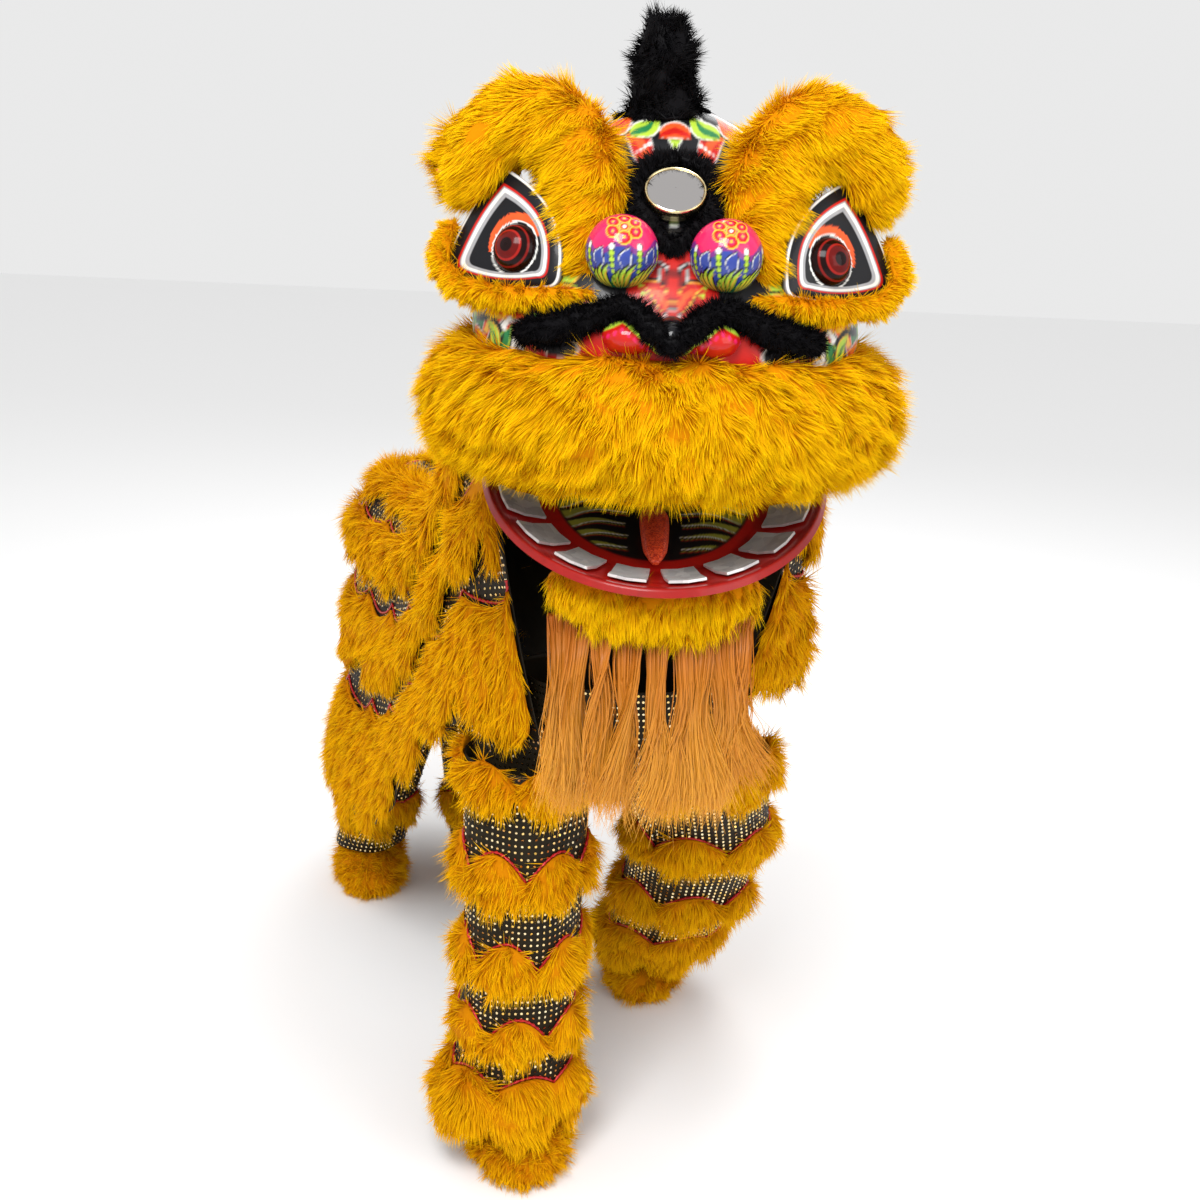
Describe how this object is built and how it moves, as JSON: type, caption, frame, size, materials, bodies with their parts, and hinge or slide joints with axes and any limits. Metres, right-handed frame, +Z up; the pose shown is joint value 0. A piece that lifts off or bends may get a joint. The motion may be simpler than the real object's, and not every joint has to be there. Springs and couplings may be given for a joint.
{
  "type": "lion dance costume",
  "caption": "Worn lion dance costume: furred head with a hinged jaw and ear flaps, a draped sequined blanket with fur rows, furred trousers and shoe covers, held up at its grip bar",
  "frame": {"origin": "the middle of the grip bar inside the head, where the front dancer's hands hold it up", "axes": "-Y is the way the lion faces, +X is the lion's own left, +Z is up"},
  "size_m": [1.1363, 1.927, 2.066],
  "materials": {
    "yellow_fur": "deep pile fur, bright yellow at the tips and orange at the roots",
    "black_fur": "black fur, matte",
    "beard_hair": "long wavy hair, deep orange at the top to peach at the tips",
    "sequin_cloth": "black cloth covered with small gold and silver sequins in rows",
    "painted_shell": "papier-mache painted with flames, leaves and scrolls under a gloss lacquer",
    "nose_lacquer": "glossy red lacquer with a green edge line",
    "eye_panel": "nested black, white and red bands under a gloss lacquer",
    "eyeball": "glossy dark red and black",
    "forehead_ball": "glossy pink above and blue below with painted flowers and strokes",
    "mirror": "silvered glass, slightly domed",
    "jaw_tray": "painted red, olive green and black under a gloss lacquer",
    "tooth_foil": "silver white foil, satin",
    "tongue_glitter": "red glitter cloth",
    "cane": "bare cane, satin"
  },
  "bodies": {
    "costume": {"head_shell": "painted_shell", "head_frame": "cane", "lip_fur": "yellow_fur", "nose": "nose_lacquer", "moustache_fur": "black_fur", "horn": "black_fur", "forehead_mirror": "mirror", "mirror_fur": "black_fur", "eye_panel_left": "eye_panel", "eyeball_left": "eyeball", "brow_fur_left": "yellow_fur", "eye_rim_fur_left": "yellow_fur", "forehead_ball_left": "forehead_ball", "eye_panel_right": "eye_panel", "eyeball_right": "eyeball", "brow_fur_right": "yellow_fur", "eye_rim_fur_right": "yellow_fur", "forehead_ball_right": "forehead_ball", "blanket_cloth": "sequin_cloth", "blanket_fur_spine": "yellow_fur", "blanket_fur_left_1": "yellow_fur", "blanket_fur_left_2": "yellow_fur", "blanket_fur_left_3": "yellow_fur", "blanket_fur_left_4": "yellow_fur", "blanket_fur_right_1": "yellow_fur", "blanket_fur_right_2": "yellow_fur", "blanket_fur_right_3": "yellow_fur", "blanket_fur_right_4": "yellow_fur", "front_trousers": "sequin_cloth", "front_left_fur_1": "yellow_fur", "front_left_fur_2": "yellow_fur", "front_left_fur_3": "yellow_fur", "front_left_fur_4": "yellow_fur", "front_right_fur_1": "yellow_fur", "front_right_fur_2": "yellow_fur", "front_right_fur_3": "yellow_fur", "front_right_fur_4": "yellow_fur", "front_right_fur_5": "yellow_fur", "rear_trousers": "sequin_cloth", "rear_left_fur": "yellow_fur", "rear_right_fur": "yellow_fur", "shoe_cover_front_right": "yellow_fur", "shoe_cover_front_left": "yellow_fur", "shoe_cover_rear_right": "yellow_fur", "shoe_cover_rear_left": "yellow_fur"},
    "jaw": {"jaw_tray": "jaw_tray", "tooth_1": "tooth_foil", "tooth_2": "tooth_foil", "tooth_3": "tooth_foil", "tooth_4": "tooth_foil", "tooth_5": "tooth_foil", "tooth_6": "tooth_foil", "tooth_7": "tooth_foil", "tooth_8": "tooth_foil", "tongue": "tongue_glitter", "chin_fur": "yellow_fur", "beard": "beard_hair"},
    "ear_left": {"ear_left": "yellow_fur"},
    "ear_right": {"ear_right": "yellow_fur"}
  },
  "joints": [
    {"name": "jaw_hinge", "type": "hinge", "parent": "costume", "child": "jaw", "pos_m": [0, -0.01, -0.12], "axis": [-1, 0, 0], "range_deg": [0, 16]},
    {"name": "ear_left_hinge", "type": "hinge", "parent": "costume", "child": "ear_left", "pos_m": [0.232, 0.002, 0.301], "axis": [0, -1, 0], "range_deg": [0, 20]},
    {"name": "ear_right_hinge", "type": "hinge", "parent": "costume", "child": "ear_right", "pos_m": [-0.232, 0.002, 0.301], "axis": [0, 1, 0], "range_deg": [0, 20]}
  ]
}
